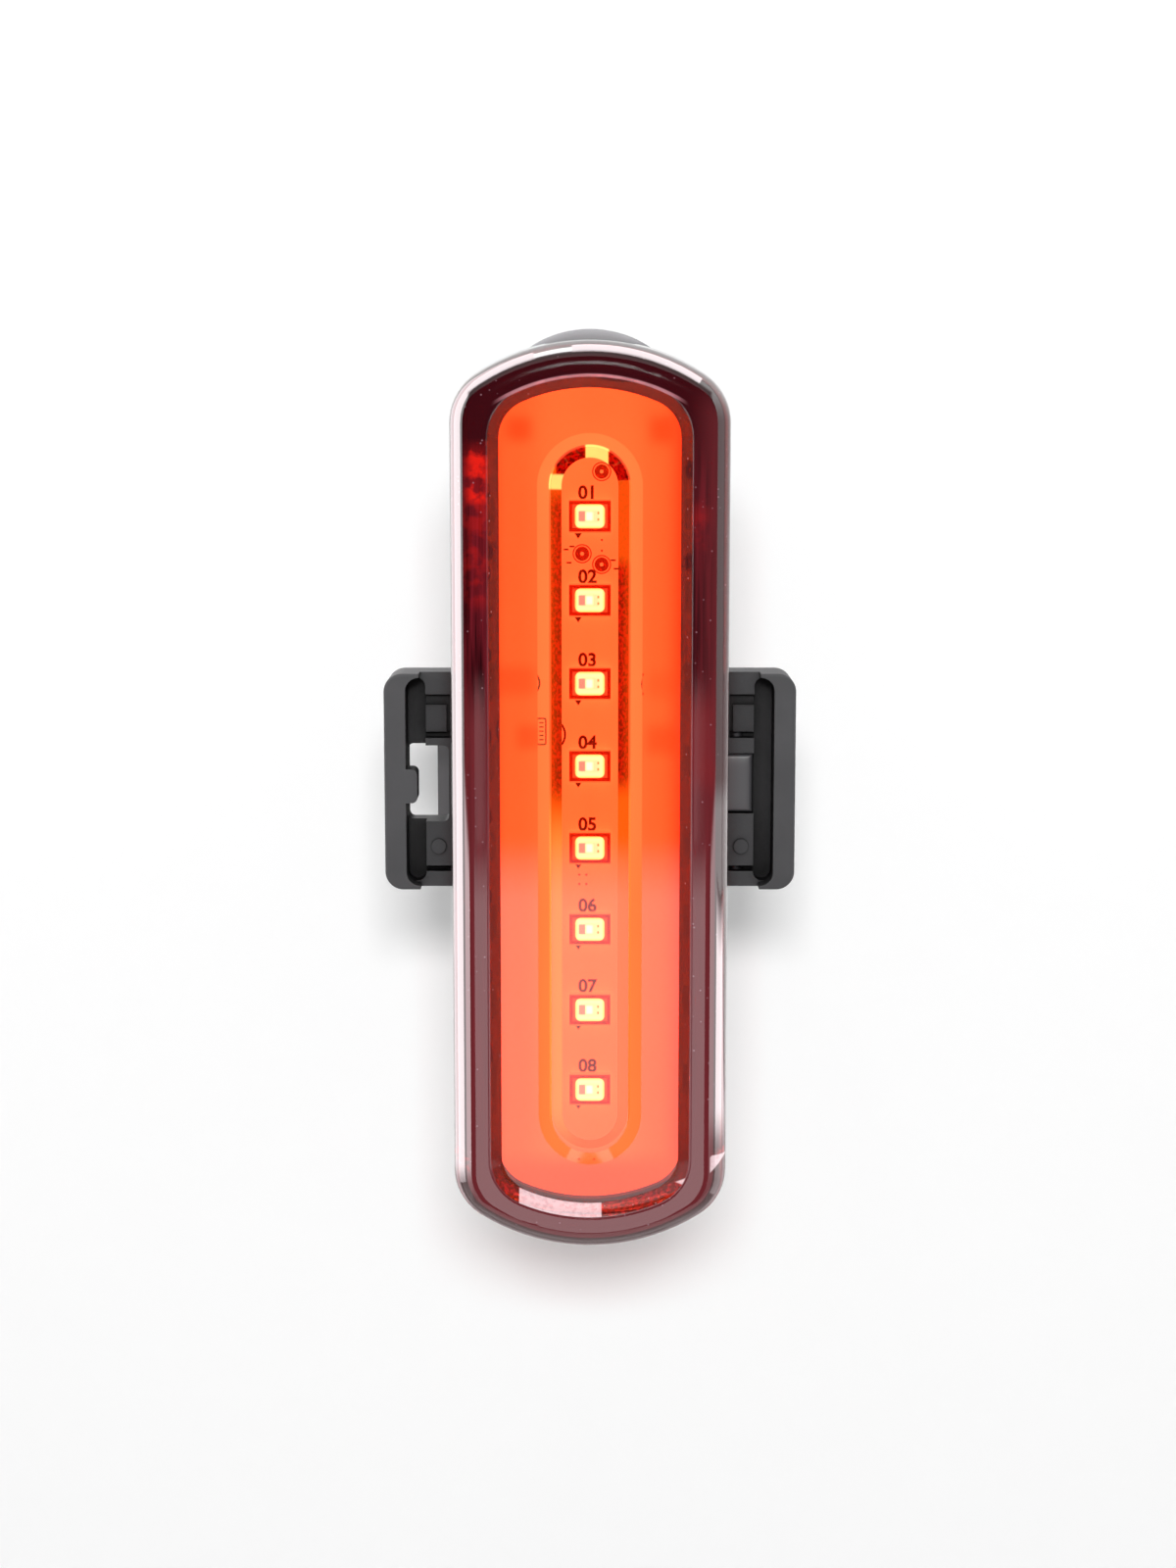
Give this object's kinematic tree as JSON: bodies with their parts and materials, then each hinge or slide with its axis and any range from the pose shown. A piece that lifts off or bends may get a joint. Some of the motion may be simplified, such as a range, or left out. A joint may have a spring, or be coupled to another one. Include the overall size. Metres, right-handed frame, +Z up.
{
  "type": "bicycle tail light",
  "caption": "Long upright rechargeable red bicycle tail light with a row of lamps behind a sunken clear window, on a strap bracket for a round seat post.",
  "frame": {"origin": "on the seat post's axis, halfway up the bracket", "axes": "+Z up along the seat post, the lens looks along -Y, +X to the right of someone who looks at the lens"},
  "size_m": [0.0366, 0.0549, 0.0777],
  "materials": {
    "red_lens": "clear red moulding, polished",
    "black_inner": "fine matt",
    "board_white": "white solder mask",
    "lamp_white": "moulded",
    "lamp_glow": "clear resin, lit",
    "chip_ceramic": "matt",
    "black_rubber": "matt",
    "housing_black": "fine spark-eroded grain",
    "cell_foil": "pouch foil",
    "foam_grey": "foam",
    "lead_red": "silicone wire",
    "lead_black": "silicone wire",
    "board_green": "green solder mask",
    "chip_black": "moulded",
    "contact_brass": "plated",
    "socket_steel": "drawn shell",
    "switch_steel": "stamped",
    "screw_steel": "zinc plated",
    "button_grey": "soft satin",
    "bracket_grey": "fine grain",
    "strap_silicone": "satin"
  },
  "bodies": {
    "bracket": {"strap_bracket": "bracket_grey", "saddle_pad": "black_rubber", "strap_anchor": "strap_silicone", "strap_pin": "screw_steel"},
    "light": {"lens_cover": "red_lens", "inner_bezel": "black_inner", "led_board": "board_white", "led_packages": "lamp_white", "led_lenses": "lamp_glow", "led_resistors": "chip_ceramic", "lens_seal": "black_rubber", "rear_housing": "housing_black", "battery_cell": "cell_foil", "battery_foam": "foam_grey", "battery_lead_red": "lead_red", "battery_lead_black": "lead_black", "control_board": "board_green", "control_chips": "chip_black", "header_block": "chip_black", "header_pins": "contact_brass", "usb_socket": "socket_steel", "usb_tongue": "chip_black", "usb_cover_anchor": "black_rubber", "switch_body": "switch_steel", "switch_board": "board_green", "switch_leads": "lead_black", "slide_rail": "housing_black", "rail_screws": "screw_steel"},
    "button": {"power_button": "button_grey", "switch_plunger": "chip_black"},
    "port_cover": {"usb_cover": "black_rubber"},
    "strap": {"strap": "strap_silicone"}
  },
  "joints": [
    {"name": "light_slide", "type": "slide", "parent": "bracket", "child": "light", "axis": [0, 0, 1], "range_m": [0, 0.018]},
    {"name": "button_press", "type": "slide", "parent": "light", "child": "button", "axis": [0, 0, -1], "range_m": [0, 0.0004], "stiffness_N_per_m": 1500, "springref_m": -0.001},
    {"name": "port_cover_hinge", "type": "hinge", "parent": "light", "child": "port_cover", "pos_m": [0, -0.0236, -0.0372], "axis": [1, 0, 0], "range_deg": [0, 100]},
    {"name": "strap_swing", "type": "hinge", "parent": "bracket", "child": "strap", "pos_m": [0.014, -0.015, 0], "axis": [0, 0, -1], "range_deg": [0, 70]}
  ]
}
